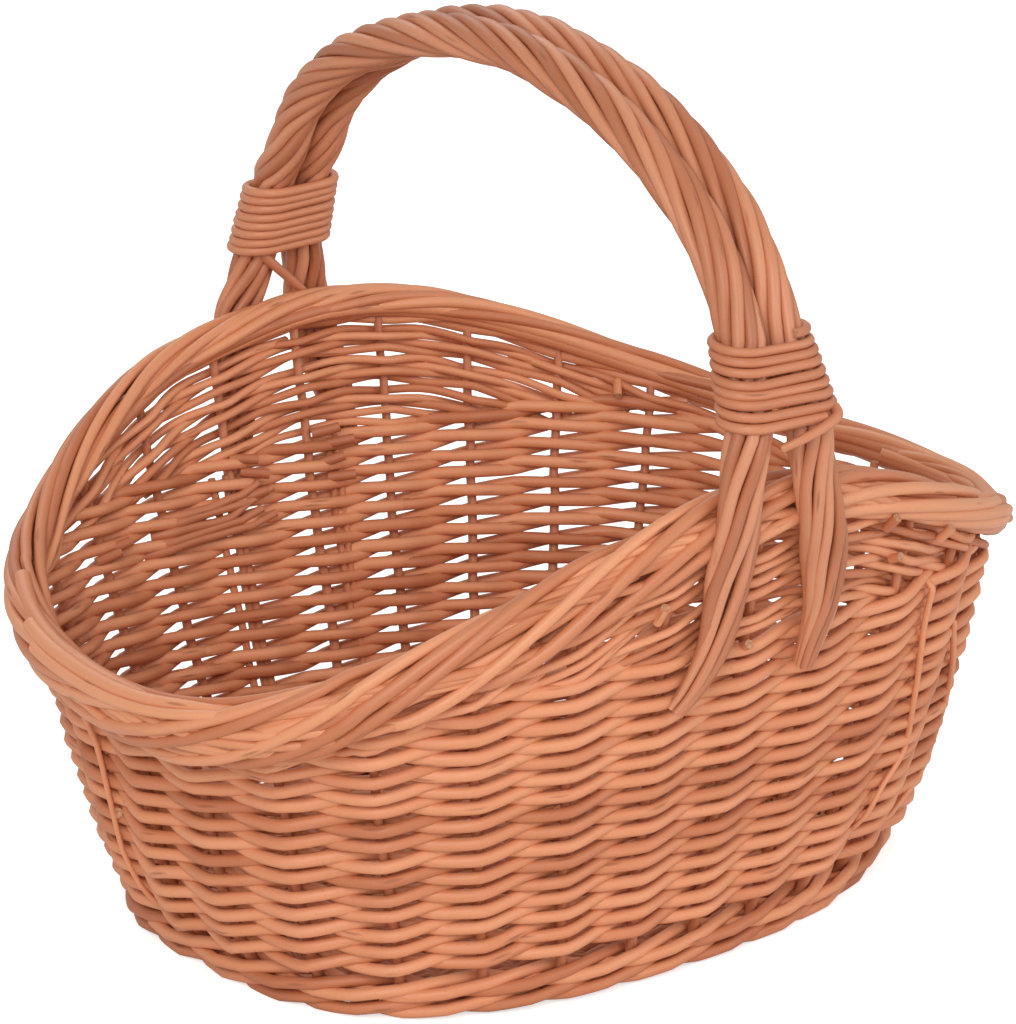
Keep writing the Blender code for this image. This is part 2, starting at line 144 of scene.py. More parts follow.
def willow_finish(name, pale, middle, deep, roughness=0.47, streak_share=0.5):
    """Buff willow: streaked along the rod, mottled, scarred where leaves grew, satin."""
    finish = Finish(name)
    node = finish.node
    around_and_along = node("ShaderNodeUVMap", {"uv_map": "rod"})
    around = node("ShaderNodeSeparateXYZ", {}, {0: around_and_along})
    along = node("ShaderNodeSeparateXYZ", {}, {0: around_and_along}, output=1)
    tone = node("ShaderNodeAttribute", {"attribute_name": "tone"}, output=2)
    turn = around * full_turn
    east = node("ShaderNodeMath", {"operation": "COSINE"}, {0: turn})
    north = node("ShaderNodeMath", {"operation": "SINE"}, {0: turn})

    def mark_place(reach, pace, shift):
        spot = {0: east * reach, 1: north * reach, 2: along * pace + tone * shift}
        return node("ShaderNodeCombineXYZ", {}, spot)

    grain = node("ShaderNodeTexNoise", {}, {
        "Vector": mark_place(2.2, streaks_along, streak_shift), "Scale": 2.1, "Detail": 4, "Roughness": 0.6})
    blotch = node("ShaderNodeTexNoise", {}, {
        "Vector": mark_place(0.5, blotches_along, blotch_shift), "Scale": 1, "Detail": 2})
    place = node("ShaderNodeTexCoord", {}, output=3)
    fine = node("ShaderNodeTexNoise", {}, {"Vector": place, "Scale": fine_grain_scale, "Detail": 3})
    scar = node("ShaderNodeTexVoronoi", {}, {
        "Vector": mark_place(0.7, scars_along, scar_shift), "Scale": 0.8, "Randomness": 1})
    scar_mark = 1 - finish.ramp(scar, 0.06, 0.17)

    share = finish.ramp(grain * streak_share + blotch * 0.75 + tone * 0.9, 0.62, 1.62)
    colour = finish.blend(share, (*pale, 1), (*middle, 1))
    depth = finish.ramp(tone + blotch * 0.5, 0.72, 1.35)
    colour = finish.blend(depth * 0.75, colour, (*deep, 1))
    speck = finish.ramp(fine, 0.63, 0.75) * 0.35
    colour = finish.blend(speck, colour, (*deep, 1))
    colour = finish.blend(scar_mark * 0.55, colour, (*[part * 0.55 for part in deep], 1))
    finish.surface("Base Color", colour)
    finish.surface("Roughness", grain * 0.12 + blotch * 0.10 + (roughness - 0.10))
    relief = grain * 0.6 + fine * 0.25 + scar_mark * 0.5
    bump = node("ShaderNodeBump", {}, {"Strength": 0.35, "Distance": 0.0006, "Height": relief})
    finish.surface("Normal", bump)
    return finish.material


def cut_finish():
    """The sawn or clipped end of a rod: pale wood mottled with darker patches."""
    finish = Finish("cut_willow")
    place = finish.node("ShaderNodeTexCoord", {}, output=3)
    wood = finish.node("ShaderNodeTexNoise", {}, {"Vector": place, "Scale": cut_grain_scale, "Detail": 3})
    share = finish.ramp(wood, 0.35, 0.7)
    finish.surface("Base Color", finish.blend(share, (0.62, 0.33, 0.19, 1), (0.36, 0.15, 0.075, 1)))
    finish.surface("Roughness", wood * 0.2 + 0.6)
    bump = finish.node("ShaderNodeBump", {}, {"Strength": 0.4, "Distance": 0.0005, "Height": wood})
    finish.surface("Normal", bump)
    return finish.material


pale_tan, warm_tan, russet = (0.75, 0.315, 0.158), (0.65, 0.230, 0.103), (0.41, 0.118, 0.045)
weaver_willow = willow_finish("weaver_willow", pale_tan, warm_tan, russet)
border_willow = willow_finish("border_willow", (0.75, 0.32, 0.160), (0.65, 0.235, 0.108), russet,
                              roughness=0.43)
handle_willow = willow_finish("handle_willow", (0.67, 0.290, 0.158), (0.55, 0.200, 0.095),
                              (0.36, 0.11, 0.046), roughness=0.40, streak_share=0.9)
stake_willow = willow_finish("stake_willow", (0.60, 0.225, 0.11), (0.48, 0.155, 0.068), russet)
binding_willow = willow_finish("binding_willow", (0.66, 0.27, 0.138), (0.55, 0.195, 0.092),
                               (0.36, 0.11, 0.045), roughness=0.42, streak_share=0.9)
base_willow = willow_finish("base_willow", (0.60, 0.24, 0.12), (0.48, 0.165, 0.075), russet)
cut_willow = cut_finish()


# The wall

def lengths_along(points):
    """The length along a route at each of its points."""
    return np.concatenate([[0], np.cumsum(np.linalg.norm(np.diff(points, axis=0), axis=1))])


def outline_reach(angles, half_length, half_width):
    along = np.abs(np.cos(angles)) / half_length
    across = np.abs(np.sin(angles)) / half_width
    return (along ** corner_power + across ** corner_power) ** (-1 / corner_power)


def half_sizes(heights):
    rise = heights / spread_height
    swell = 4 * rise * (1 - rise)
    half_length = (base_length + (spread_length - base_length) * rise) / 2 + end_bulge * swell
    half_width = (base_width + (spread_width - base_width) * rise) / 2 + side_bulge * swell
    return half_length, half_width


table_angles = np.linspace(0, full_turn, 721)
table_reach = outline_reach(table_angles, *half_sizes(spread_height / 2))
table_spots = np.stack([table_reach * np.cos(table_angles), table_reach * np.sin(table_angles)], 1)
table_shares = lengths_along(table_spots)
table_shares /= table_shares[-1]


def angle_at(shares):
    return np.interp(np.mod(shares, 1), table_shares, table_angles)


# values between stops are averaged over this share to each side
stop_blur, blur_steps = 0.016, 9


def by_share(shares, stops):
    """Smooth values round the wall from a few stops, each a share and its values."""
    places = np.array([stop[0] for stop in stops])
    values = np.array([stop[1] for stop in stops], float)
    places = np.concatenate([places - 1, places, places + 1])
    values = np.concatenate([values, values, values])
    shares = np.mod(np.asarray(shares, float), 1)
    total = 0
    for shift in np.linspace(-stop_blur, stop_blur, blur_steps):
        at = np.clip(np.searchsorted(places, shares + shift) - 1, 0, len(places) - 2)
        part = (shares + shift - places[at]) / (places[at + 1] - places[at])
        if values.ndim > 1:
            part = part[..., None]
        total = total + values[at] * (1 - part) + values[at + 1] * part
    return total / blur_steps


# steps in share and height over which the wall's directions are measured
share_step, height_step = 0.002, 0.0005
# how far the hand-made wall strays outwards from the even one, by share, at five heights
stray_heights = np.array([0.0, 0.025, 0.05, 0.10, 0.15])
stray_stops = [
    (0.0, (-0.006, -0.001, 0.001, -0.003, -0.0065)),
    (0.06, (-0.003, -0.001, 0, -0.001, -0.003)),
    (0.13, (0, 0, 0, 0, 0)),
    (0.34, (0, 0, 0, 0, 0)),
    (0.40, (0, 0, 0, 0, 0.002)),
    (0.45, (-0.0040, 0.0005, 0.0020, -0.0005, 0.006)),
    (0.50, (-0.0095, 0.0018, 0.0048, -0.0008, 0.014)),
    (0.55, (-0.0058, 0.0026, 0.0038, -0.0020, 0.016)),
    (0.61, (0.0045, 0.0030, 0.0008, -0.0006, 0.005)),
    (0.68, (0.0060, 0.0025, 0, 0, 0)),
    (0.75, (0.0018, 0.0008, 0, 0, 0)),
    (0.82, (-0.0052, -0.0010, 0, 0, 0)),
    (0.87, (-0.0112, -0.0032, 0.0005, 0.0005, -0.001)),
    (0.93, (-0.0105, -0.002, 0.0002, -0.002, -0.005))]


def wall_spots(shares, heights):
    """Points in the middle of the wall, by share of the way round from the +X end."""
    shares, heights = np.broadcast_arrays(np.asarray(shares, float), np.asarray(heights, float))
    angles = angle_at(shares)
    half_length, half_width = half_sizes(heights)
    reach = outline_reach(angles, half_length, half_width)
    x, y = reach * np.cos(angles), reach * np.sin(angles)
    stray = by_share(shares, stray_stops)
    levels = np.clip(np.searchsorted(stray_heights, heights) - 1, 0, len(stray_heights) - 2)
    low, high = stray_heights[levels], stray_heights[levels + 1]
    climbed = np.clip((heights - low) / (high - low), 0, 1)
    nearest = np.take_along_axis(stray, np.stack([levels, levels + 1], -1), -1)
    stray = nearest[..., 0] * (1 - climbed) + nearest[..., 1] * climbed
    facing = np.hypot(x / half_length ** 2, y / half_width ** 2)
    return np.stack([x + stray * x / half_length ** 2 / facing, y + stray * y / half_width ** 2 / facing,
                     heights], -1)


def unit(vectors):
    return vectors / np.linalg.norm(vectors, axis=-1, keepdims=True)


def wall_outwards(shares, heights):
    along = wall_spots(shares + share_step, heights) - wall_spots(shares - share_step, heights)
    upward = wall_spots(shares, heights + height_step) - wall_spots(shares, heights - height_step)
    return unit(np.cross(along, upward))


def on_wall(shares, heights, outs):
    """Points a distance outside the middle of the wall."""
    shares, heights = np.asarray(shares, float), np.asarray(heights, float)
    return wall_spots(shares, heights) + wall_outwards(shares, heights) * np.asarray(outs)[..., None]


# how far the rim lies above its even curve, how far it leans out and how deep it is, by share
rim_lift_stops = [
    (0.006, 0.0085), (0.022, 0.0083), (0.035, 0.0055), (0.06, 0.0050), (0.09, 0.0050), (0.12, 0.0050),
    (0.155, 0.0060), (0.185, 0.0050), (0.22, 0.0005), (0.25, -0.0020), (0.285, -0.0018), (0.305, 0.0040),
    (0.35, 0.0030), (0.385, 0.0), (0.44, 0.0005), (0.5, 0.0), (0.75, 0.0), (0.90, 0.0), (0.925, -0.001),
    (0.94, 0.0045), (0.966, 0.0076), (0.985, 0.0083)]
border_out_stops = [
    (0.0, 0.0085), (0.06, 0.004), (0.14, -0.001), (0.38, -0.001), (0.43, 0.0003), (0.47, 0.0036),
    (0.5, 0.0052), (0.535, 0.0084), (0.57, 0.0093), (0.64, 0.0015), (0.85, -0.001), (0.94, 0.006)]
border_depth_stops = [
    (0.0, 0.0165), (0.05, 0.0175), (0.25, 0.0195), (0.4, 0.0215), (0.46, 0.025), (0.53, 0.035),
    (0.6, 0.035), (0.68, 0.036), (0.74, 0.032), (0.79, 0.022), (0.88, 0.019), (0.94, 0.0175),
    (0.97, 0.0160)]


def rim_heights(shares):
    rise = rim_rise * np.abs(np.sin(angle_at(shares))) ** rim_rise_power
    return end_rim_height + rise + by_share(shares, rim_lift_stops)


def border_half_depths(shares):
    return by_share(shares, border_depth_stops) / 2


def border_centres(shares):
    heights = rim_heights(shares) - border_half_depths(shares)
    out = by_share(shares, border_out_stops)[..., None]
    return wall_spots(shares, heights) + wall_outwards(shares, heights) * out


def border_axes(shares):
    along = unit(border_centres(shares + share_step) - border_centres(shares - share_step))
    outward = wall_outwards(shares, border_centres(shares)[..., 2])
    upward = unit(np.cross(outward, along))
    return unit(np.cross(along, upward)), upward


def border_undersides(shares):
    upward = border_axes(shares)[1]
    return border_centres(shares)[..., 2] - border_half_depths(shares) * upward[..., 2]


# Rods

class Rod:
    """One willow rod: its points, its radius at each and its tone from 0, pale, to 1, dark."""

    def __init__(self, points, radii, tone=None):
        self.points = np.asarray(points, float)
        self.radii = np.broadcast_to(np.asarray(radii, float), (len(self.points),))
        self.tone = chance.random() if tone is None else tone


def smooth(stops, steps):
    """A smooth run of rows through the stops, each stop a tuple of numbers."""
    stops = np.asarray(stops, float)
    padded = np.concatenate([[2 * stops[0] - stops[1]], stops, [2 * stops[-1] - stops[-2]]])
    route = []
    for before, start, end, after in zip(padded, padded[1:], padded[2:], padded[3:]):
        for t in np.arange(steps) / steps:
            bend = 2 * before - 5 * start + 4 * end - after
            turn = 3 * start - before - 3 * end + after
            route.append((2 * start + (end - before) * t + bend * t ** 2 + turn * t ** 3) / 2)
    return np.array(route + [stops[-1]])


merge_distance = 0.00001
smooth_angle = math.radians(50)


def bevelled_piece(name, rods, sides):
    """One mesh of closed round rods."""
    bpy.ops.object.add(type="CURVE")
    piece = bpy.context.object
    piece.name = name
    curve = piece.data
    curve.dimensions = "3D"
    curve.bevel_depth = 1
    curve.bevel_resolution = (sides - 4) // 2
    curve.use_fill_caps = True
    for rod in rods:
        spline = curve.splines.new("POLY")
        spline.points.add(len(rod.points) - 1)
        spline.points.foreach_set("co", np.column_stack([rod.points, np.ones(len(rod.points))]).ravel())
        spline.points.foreach_set("radius", rod.radii.astype(np.float32))
    bpy.ops.object.convert(target="MESH")
    return bpy.context.object


def map_rods(mesh, rods, sides):
    """Maps a mesh round and along its rods, adds their tones and flags the faces on their sides."""
    # The converted mesh holds the end caps first, last rod first, and then every ring in turn
    cap_count = 2 * len(rods) * sides
    lengths = [lengths_along(rod.points) for rod in rods]
    ring_along = np.concatenate(lengths)
    ring_tone = np.concatenate([np.full(len(rod.points), rod.tone) for rod in rods])
    cap_along = np.array([[length[-1], length[0]] for length in lengths[::-1]]).ravel()
    cap_tone = np.repeat([rod.tone for rod in rods[::-1]], 2)
    vertex_along = np.repeat(np.concatenate([cap_along, ring_along]), sides)
    vertex_tone = np.repeat(np.concatenate([cap_tone, ring_tone]), sides)
    tone = mesh.attributes.new("tone", "FLOAT", "POINT")
    tone.data.foreach_set("value", vertex_tone.astype(np.float32))
    corner_vertex = np.zeros(len(mesh.loops), int)
    mesh.loops.foreach_get("vertex_index", corner_vertex)
    corner_around = (corner_vertex % sides) / sides
    face_starts = np.zeros(len(mesh.polygons), int)
    face_sizes = np.zeros(len(mesh.polygons), int)
    mesh.polygons.foreach_get("loop_start", face_starts)
    mesh.polygons.foreach_get("loop_total", face_sizes)
    on_side = corner_vertex[face_starts] >= cap_count
    corner_face = np.repeat(np.arange(len(face_starts)), face_sizes)
    widest = np.zeros(len(face_starts))
    np.maximum.at(widest, corner_face, corner_around)
    at_seam = (corner_around == 0) & (widest[corner_face] > 0.5) & on_side[corner_face]
    corner_around[at_seam] = 1
    while mesh.uv_layers:
        mesh.uv_layers.remove(mesh.uv_layers[0])
    layer = mesh.uv_layers.new(name="rod")
    layer.data.foreach_set("uv", np.column_stack([corner_around, vertex_along[corner_vertex]])
                           .astype(np.float32).ravel())
    return on_side


def lay_rods(name, rods, sides, finish, nodes=()):
    """Makes one piece of many rods, in place of the nodes that it shows."""
    piece = bevelled_piece(name, rods, sides)
    mesh = piece.data
    on_side = map_rods(mesh, rods, sides)
    mesh.materials.clear()
    mesh.materials.append(finish)
    mesh.materials.append(cut_willow)
    mesh.polygons.foreach_set("material_index", (~on_side).astype(np.int32))
    bpy.ops.object.mode_set(mode="EDIT")
    bpy.ops.mesh.select_all(action="SELECT")
    bpy.ops.mesh.remove_doubles(threshold=merge_distance)
    bpy.ops.mesh.normals_make_consistent(inside=False)
    bpy.ops.object.mode_set(mode="OBJECT")
    bpy.ops.object.shade_smooth_by_angle(angle=smooth_angle)
    piece.select_set(False)
    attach(piece, "root")
    if nodes:
        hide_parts(*nodes)


def wander(places, size, waves=5, longest=9.0):
    """A smooth unsteadiness along a rod, as hand work has."""
    total = np.zeros(len(places))
    for wave in range(waves):
        length = longest / (1 + wave * 1.3)
        total += np.sin(full_turn * (places / length + chance.random())) / (1 + wave * 0.6)
    return total * size / 2


def near_ends(run, share):
    """1 at the two ends of a run from 0 to 1, falling to 0 within a share of it."""
    return np.clip(1 - np.minimum(run, 1 - run) / share, 0, 1)


def run_of(values):
    """The values' progress from 0 at the first to 1 at the last."""
    return (values - values[0]) / (values[-1] - values[0])


def sway(turns):
    """A rounded zigzag between 1 and -1, the way a rod bends round stakes."""
    sharp = 0.975
    return np.arcsin(sharp * np.cos(math.pi * turns)) / math.asin(sharp)


# Side weave: pairs of rods that cross between the stakes

weaver_radius = 0.00272
row_rise = 0.0082
most_rows = 20
weave_bottom = 0.0204
weave_cap = 0.161
place_step = 0.1
weaver_lengths = (24, 26, 28, 30, 32, 34)
least_weaver_length = 7
row_overhang, joint_overhang = 0.3, 0.4
tuck_depth = 0.0042
weave_reach = stake_radius + weaver_radius
# how far the rows run up inside the border, most where it leans outwards
weave_tuck_stops = [
    (0.0, 0.0030), (0.05, 0.0015), (0.40, 0.0015), (0.455, 0.0095), (0.55, 0.0095), (0.61, 0.0015),
    (0.95, 0.0015)]
pair_swing = 0.0019


def pair_heights(places):
    """Height of the pair's middle after a number of stakes."""
    return weave_bottom + row_rise * places / stake_count


def row_fits(places):
    """Whether the weave still has room here under the border or the thin rods above."""
    shares = places / stake_count
    ceiling = np.minimum(border_undersides(shares) + by_share(shares, weave_tuck_stops), weave_cap)
    return pair_heights(places) + row_rise / 2 < ceiling


def weave_top(shares):
    """Upper edge of the side weave at a share of the way round."""
    shares = np.mod(shares, 1)
    top = np.full(np.shape(shares), weave_bottom)
    for turn in range(most_rows):
        places = (turn + shares) * stake_count
        top = np.where(row_fits(places), pair_heights(places) + row_rise / 2, top)
    return top


def runs_of(flags):
    """First and last index of each unbroken run of true flags."""
    edges = np.flatnonzero(np.diff(np.concatenate([[0], flags.astype(int), [0]])))
    return [(first, last - 1) for first, last in zip(edges[::2], edges[1::2])]


def hidden_end(outs, places, shares, length=0.7):
    """Pushes a rod's two ends to the side of the wall that the photograph can't see."""
    ends = np.minimum(places - places[0], places[-1] - places)
    tuck = np.clip(1 - ends / length, 0, 1) ** 2
    return outs * (1 - tuck) + np.where(shares > 0.5, -tuck_depth, tuck_depth) * tuck


def make_side_weave():
    grid = np.arange(0, most_rows * stake_count, place_step)
    spans = [(grid[first], grid[last]) for first, last in runs_of(row_fits(grid))]
    for order, node in enumerate(("side_weaver_first", "side_weaver_second")):
        # a new rod starts where the pair's other one is in front of the stake
        odd = 1 if order == 0 else 0
        rods = []
        for low, high in spans:
            start = low
            while start < high - 1:
                length = chance.choice(weaver_lengths)
                end = start + length if start + length < high - least_weaver_length else high
                first = 2 * round(start / 2) + odd - joint_overhang if start > low else low - row_overhang
                final = 2 * round(end / 2) + odd + joint_overhang if end < high else high + row_overhang
                places = np.arange(first, final, place_step)
                radii = weaver_radius * (1.07 - 0.16 * run_of(places)) * (1 + wander(places, 0.06))
                # on the far half, which shows its inside, the pair crosses the other way up
                twist = np.where(np.mod(places, stake_count) < stake_count / 2, -1, 1)
                heights = (pair_heights(places) + pair_swing * twist * sway(places + order - 0.5)
                           + wander(places, 0.0007))
                outs = weave_reach * sway(places + order) + wander(places, 0.0004)
                outs = hidden_end(outs, places, np.mod(places / stake_count, 1))
                rods.append(Rod(on_wall(places / stake_count, heights, outs), radii))
                start = end
        lay_rods(node + "_rods", rods, 8, weaver_willow, [node])


# Packing: bands of thin rods that follow the rim under the border

thin_radius = 0.00190
band_rods = 4
band_edges = (-0.0008, 0.0125, 0.0260, 0.0395, 0.0530)
band_overlap = 0.0025
stake_spread = 0.0023
thin_reach = stake_radius + thin_radius + 0.0004
# in stakes: the shortest rod laid, the longest left whole and the least left beside a joint
shortest_thin, longest_thin, least_part = 2, 7, 2.5


def make_packing(name, node, middle):
    """Bands of four thin rods, each in front of every second stake, draw together at the stakes."""
    rods = []
    grid = middle + np.linspace(-0.25, 0.25, 500)
    under, top = border_undersides(grid), weave_top(grid)
    for band, (upper, lower) in enumerate(zip(band_edges, band_edges[1:])):
        for row in range(band_rods):
            drop = upper + (lower - upper) * (row + 0.5) / band_rods
            fits = under - drop - thin_radius > top - band_overlap
            if not fits.any():
                continue
            slack = chance.uniform(0.1, 0.5)
            low = grid[fits][0] * stake_count - slack
            high = grid[fits][-1] * stake_count + slack
            if high - low < shortest_thin:
                continue
            cuts = [low]
            if high - low > longest_thin:
                cuts.append(round(chance.uniform(low + least_part, high - least_part)) + 0.3)
            cuts.append(high)
            for start, end in zip(cuts, cuts[1:]):
                places = np.arange(start - 0.25, end + 0.25, place_step)
                shares = places / stake_count
                swing = sway(places + band + row)
                near_stake = np.abs(swing) ** 1.5
                middle_drop = (upper + lower) / 2
                spread = near_stake * stake_spread + (1 - near_stake) * (lower - upper) / band_rods
                drops = middle_drop + (row - (band_rods - 1) / 2) * spread
                heights = border_undersides(shares) - drops + wander(places, 0.0008)
                outs = hidden_end(thin_reach * swing + wander(places, 0.0005), places, shares, 0.9)
                run = run_of(places)
                taper = 1.08 - 0.16 * (run if row % 2 == 0 else 1 - run)
                radii = thin_radius * taper * (1 + wander(places, 0.05))
                rods.append(Rod(on_wall(shares, heights, outs), radii))
    lay_rods(name, rods, 8, weaver_willow, [node])


# Foot: two rounds of three stout rods that climb over each other

foot_rod_radius = 0.0027
foot_height, foot_rise, foot_lift = 0.0065, 0.0072, 0.0019


def make_foot():
    reach = stake_radius + foot_rod_radius + 0.0002
    for layer, node in enumerate(("foot_rod_lower", "foot_rod_upper")):
        rods = []
        for order in range(3):
            start = order + layer * 1.0
            places = np.arange(start, start + stake_count + 0.8, place_step)
            cycle = np.mod(places + order, 3)
            swing = np.interp(cycle, [0, 0.5, 1, 1.5, 2, 2.5, 3], [1, 1.35, 1, 0.05, -1, 0.05, 1])
            lift = np.sin(full_turn * (cycle - 0.5) / 3) * foot_lift
            heights = foot_height + layer * foot_rise + lift + wander(places, 0.0003)
            radii = foot_rod_radius * (1.1 - 0.25 * run_of(places))
            rods.append(Rod(on_wall(places / stake_count, heights, reach * swing), radii))
        lay_rods(node + "_rods", rods, 10, weaver_willow, [node])


# Stakes

stake_start, stake_lap, stake_points = 0.010, 0.006, 22
stake_foot_share, stake_foot_height = 0.955, 0.0052


def make_stakes():
    for number in range(stake_count):
        share = number / stake_count
        top = float(border_undersides(np.array(share))) + stake_lap
        heights = np.linspace(stake_start, top, stake_points)
        points = on_wall(np.full(stake_points, share) + wander(heights * 100, 0.0006), heights,
                         wander(heights * 100, 0.0002))
        foot = points[0] + (points[0] - points[1]) * 0.4
        inward = np.array([*points[0][:2] * stake_foot_share, stake_foot_height])
        points = np.concatenate([[inward, foot * [0.985, 0.985, 1]], points])
        run = np.linspace(0, 1, len(points))
        radii = stake_radius * (1.05 - 0.18 * run)
        lay_rods(f"stake_{number + 1:02d}_rod", [Rod(points, radii)], 10, stake_willow,
                 [f"stake_{number + 1:02d}"])


# Border: rods rolled along the rim over their neighbours

border_rod_radius = 0.00275
border_rod_count, border_rod_length = 34, 0.235
crossing_rod_count, crossing_start, crossing_span = 20, 0.45, 0.29
border_core_count, border_core_radius = 7, 0.0030
# the share of the way round in which a rod turns once about the border
border_lay_stops = [
    (0.0, 0.36), (0.1, 0.30), (0.25, 0.26), (0.45, 0.26), (0.6, 0.21), (0.72, 0.22), (0.85, 0.36)]
# butts in sight on top at the left end: first share, length, turns in degrees about the border
# at the two ends, and thickness against the other rods
border_butts = [
    (0.432, 0.115, 100, 112, 1.25), (0.463, 0.105, 78, 100, 1.2), (0.474, 0.10, 50, 72, 0.95),
    (0.480, 0.13, 108, 140, 0.85)]
# clipped tips that run on past the rim at the right end: first share, turns, place, thickness
border_tip_length = 0.085
border_tips = [
    (0.862, 20, 40, (0.2145, -0.0250, 0.1328), 1.0),
    (0.874, 60, 70, (0.2130, -0.0190, 0.1362), 0.9),
    (0.868, 95, 100, (0.2080, -0.0100, 0.1420), 0.85),
    (0.885, 0, 0, (0.2100, -0.0310, 0.1322), 0.8),
    (0.895, 110, 95, (0.2030, -0.0040, 0.1480), 0.75)]


def border_route(shares, theta, depth, radii):
    """A rod's points in the rolled border, by its turn about the middle and its depth."""
    outward, upward = border_axes(shares)
    across = np.cos(theta) * (border_thickness / 2 - radii) * depth
    up = np.sin(theta) * (border_half_depths(shares) - radii) * depth
    return border_centres(shares) + outward * across[:, None] + upward * up[:, None]


def rolled_rods():
    """Rods that come out of the middle and roll along the rim over their neighbours."""
    for number in range(border_rod_count):
        start = (number + chance.uniform(-0.12, 0.12)) / border_rod_count
        length = border_rod_length * chance.uniform(0.88, 1.15)
        run = np.linspace(0, 1, 64)
        shares = start + length * run
        lay = by_share(shares, border_lay_stops) * chance.uniform(0.95, 1.06)
        turned = np.concatenate([[0], np.cumsum((1 / lay)[:-1] * np.diff(shares))])
        theta = full_turn * (-0.30 + chance.uniform(-0.02, 0.02) + turned)
        rise = np.clip(run / 0.14, 0, 1)
        depth = 0.3 + 0.7 * rise * rise * (3 - 2 * rise) - abs(chance.gauss(0, 0.05))
        depth = depth + wander(run * 10, 0.04)
        depth = depth * (1 - 0.6 * np.clip((run - 0.86) / 0.14, 0, 1) ** 2)
        radii = border_rod_radius * chance.uniform(0.9, 1.1) * (1.12 - 0.34 * run)
        yield Rod(border_route(shares, theta, depth, radii), radii)


def crossing_rods():
    """A few rods under the rolled ones that cross them the other way."""
    for number in range(crossing_rod_count):
        start = crossing_start + crossing_span * (number + chance.uniform(-0.3, 0.3)) / crossing_rod_count
        run = np.linspace(0, 1, 44)
        shares = start + chance.uniform(0.10, 0.15) * run
        theta = math.pi * chance.uniform(0.45, 1.1) - full_turn * run * chance.uniform(0.45, 0.75)
        depth = chance.uniform(0.62, 0.84) * (1 - 0.45 * near_ends(run, 0.16) ** 2)
        radii = border_rod_radius * chance.uniform(0.80, 1.0) * (1.05 - 0.2 * run)
        yield Rod(border_route(shares, theta, depth, radii), radii)


def core_rods():
    """Rods that fill the middle of the border, each once round the rim."""
    for number in range(border_core_count):
        shares = number / border_core_count + np.linspace(-0.01, 1, 160)
        theta = full_turn * (number / border_core_count + shares * 1.5)
        radii = np.full(len(shares), border_core_radius)
        yield Rod(border_route(shares, theta, 0.42 + 0.16 * (number % 2), radii), radii)


def butt_rods():
    for share, length, theta_from, theta_to, size in border_butts:
        run = np.linspace(0, 1, 30)
        theta = np.radians(theta_from + (theta_to - theta_from) * run)
        radii = border_rod_radius * size * (1.05 - 0.25 * run)
        reach = 1.13 - 0.35 * np.clip((run - 0.8) / 0.2, 0, 1) ** 2
        yield Rod(border_route(share + length * run, theta, reach, radii), radii)


def tip_rods():
    for share, theta_from, theta_to, tip, size in border_tips:
        run = np.linspace(0, 1, 30)
        theta = np.radians(theta_from + (theta_to - theta_from) * run)
        radii = border_rod_radius * size * (1.05 - 0.25 * run)
        depth = 0.6 + 0.5 * np.clip(run / 0.25, 0, 1)
        route = border_route(share + border_tip_length * run, theta, depth, radii)
        leave = (np.clip((run - 0.45) / 0.55, 0, 1) ** 1.5)[:, None]
        yield Rod(route + leave * (np.array(tip) - route[-1]), radii)


def make_border():
    rods = [*rolled_rods(), *crossing_rods(), *core_rods(), *butt_rods(), *tip_rods()]
    lay_rods("border_rods", rods, 12, border_willow, ["border"])


# Base

base_level, base_half_thickness = 0.005, 0.0049
base_edge_height, base_edge_inset = 0.0055, 0.0052
# a cross stick is shorter the further out it lies, down to nothing at stick_vanish
stick_inset, stick_vanish = 0.012, 0.32
# the sticks are thick in the open heart: its half size, the thick radius and the thin one
cross_stick_shape, long_stick_shape = (0.011, 0.0038, 0.0016), (0.101, 0.0023, 0.0014)
cross_stick_count, cross_stick_spacing = 5, 0.044
long_stick_count, long_stick_spacing, long_stick_reach = 3, 0.0049, 0.148
heart_share, heart_spread, heart_reach = 0.085, 0.78, 0.090
base_rounds, base_step, rib_points, rib_radius, rib_stagger = 20, 0.125, 14, 0.0015, 0.03


def base_spots(shares, reach):
    """Spokes of the oval floor from its heart line, and the spots at a share of each."""
    flat = np.zeros(np.shape(shares))
    edges = on_wall(shares, flat + base_edge_height, flat - base_edge_inset)
    hearts = np.clip(edges[..., 0] * heart_spread, -heart_reach, heart_reach)
    hearts = np.stack([hearts, flat], -1)
    spokes = edges[..., :2] - hearts
    return spokes, hearts + spokes * np.asarray(reach)[..., None]


def lay_stick(name, axis, places, offset, shape):
    """A stick along one axis, at an offset on the other."""
    heart, thick, thin = shape
    points = np.full((len(places), 3), base_level)
    points[:, axis], points[:, 1 - axis] = places, offset
    radii = np.where(np.abs(places) < heart, thick, thin)
    lay_rods(name + "_rod", [Rod(points, radii)], 10, base_willow, [name])


def make_sticks():
    half_width = abs(float(wall_spots(0.25, base_level)[1]))
    for number in range(cross_stick_count):
        x = (number - 2) * cross_stick_spacing
        reach = half_width * (1 - abs(x) / stick_vanish) - stick_inset
        lay_stick(f"cross_stick_{number + 1}", 1, np.linspace(-reach, reach, 24), x, cross_stick_shape)
    for number in range(long_stick_count):
        y = (number - 1) * long_stick_spacing
        xs = np.linspace(-long_stick_reach, long_stick_reach, 30)
        lay_stick(f"long_stick_{number + 1}", 0, xs, y, long_stick_shape)


